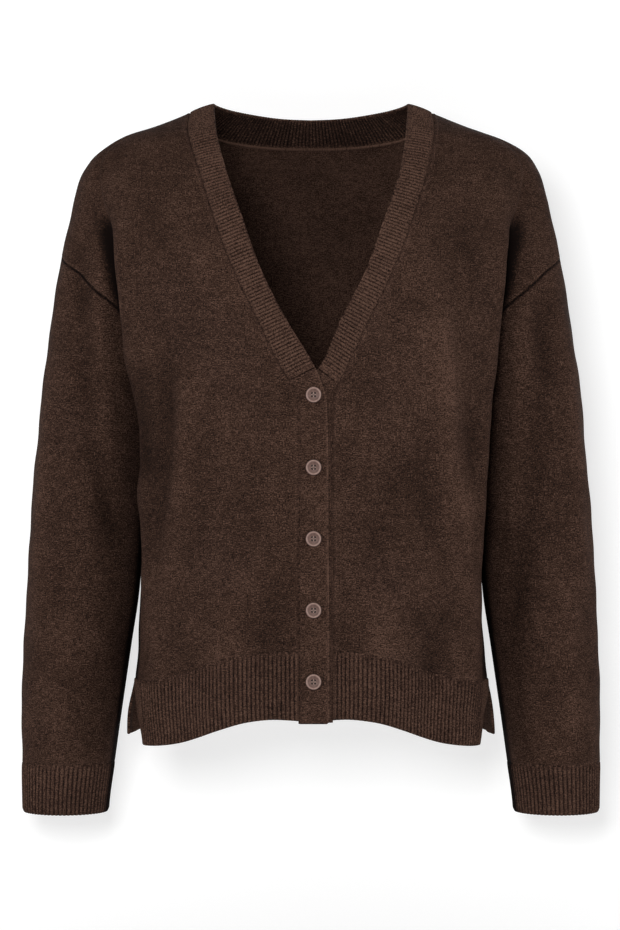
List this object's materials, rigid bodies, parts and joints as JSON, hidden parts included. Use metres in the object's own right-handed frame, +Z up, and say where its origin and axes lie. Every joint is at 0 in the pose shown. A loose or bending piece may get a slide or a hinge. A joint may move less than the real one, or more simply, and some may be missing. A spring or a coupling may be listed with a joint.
{
  "type": "v-neck cardigan",
  "caption": "Long-sleeved v-neck knit cardigan, buttoned, filled out as if worn but hollow, with ribbed neckband, cuffs and hem.",
  "frame": {"origin": "midway between the high points of the shoulders, where the wearer holds the garment", "axes": "+X to the wearer's left, -Y out of the front, +Z up"},
  "size_m": [0.5342, 0.2379, 0.6519],
  "materials": {
    "knit": "fine wool knit, dark brown melange, brushed",
    "rib": "one by one rib in the same yarn",
    "band": "doubled plain knit in the same yarn",
    "buttons": "satin moulded plastic with four holes"
  },
  "bodies": {
    "root": {"front_right": "knit", "front_left": "knit", "back": "knit", "sleeve_right": "knit", "sleeve_left": "knit", "cuff_right": "rib", "cuff_left": "rib", "hem_front_right": "rib", "hem_front_left": "rib", "hem_back": "rib", "neckband": "rib", "button_band": "band", "under_band": "band", "button_1": "buttons", "button_2": "buttons", "button_3": "buttons", "button_4": "buttons", "button_5": "buttons"}
  },
  "joints": []
}
